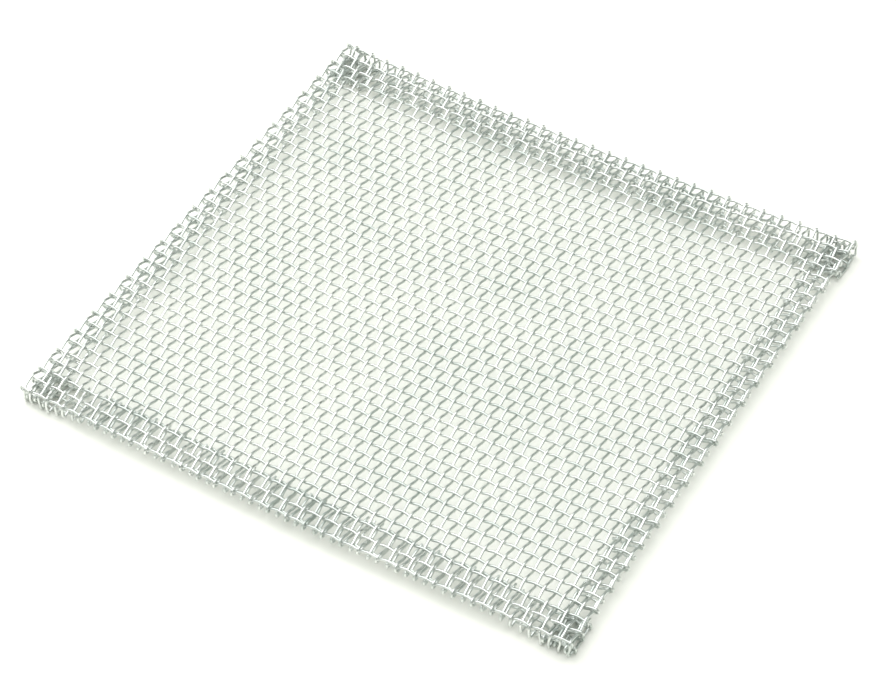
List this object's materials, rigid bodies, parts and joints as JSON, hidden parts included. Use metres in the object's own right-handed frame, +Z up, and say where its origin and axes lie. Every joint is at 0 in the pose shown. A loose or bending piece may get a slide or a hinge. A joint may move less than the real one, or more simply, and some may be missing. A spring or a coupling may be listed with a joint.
{
  "type": "wire gauze",
  "caption": "Square of plain woven steel wire mesh with all four edges folded under as hems, laid over a tripod or stand to spread heat and carry a vessel.",
  "frame": {"origin": "centre of the square in plan, at the underside of the lowest hem wires", "axes": "+X across the side hems, towards the right hem; +Y from the front hem to the back hem; +Z up, out of the face that carries the vessel"},
  "size_m": [0.125, 0.1226, 0.005],
  "materials": {
    "wire": "bright galvanised wire, semi-gloss, lightly dulled"
  },
  "bodies": {
    "root": {"cross_wires_1": "wire", "cross_wires_2": "wire", "cross_wires_3": "wire", "cross_wires_4": "wire", "cross_wires_5": "wire", "cross_wires_6": "wire", "cross_wires_7": "wire", "cross_wires_8": "wire", "long_wires_1": "wire", "long_wires_2": "wire", "long_wires_3": "wire", "long_wires_4": "wire", "long_wires_5": "wire", "long_wires_6": "wire", "long_wires_7": "wire", "long_wires_8": "wire", "long_wires_9": "wire", "long_wires_10": "wire", "long_wires_11": "wire", "long_wires_12": "wire", "front_hem_wires": "wire", "back_hem_wires": "wire", "left_hem_wires": "wire", "right_hem_wires": "wire"}
  },
  "joints": []
}
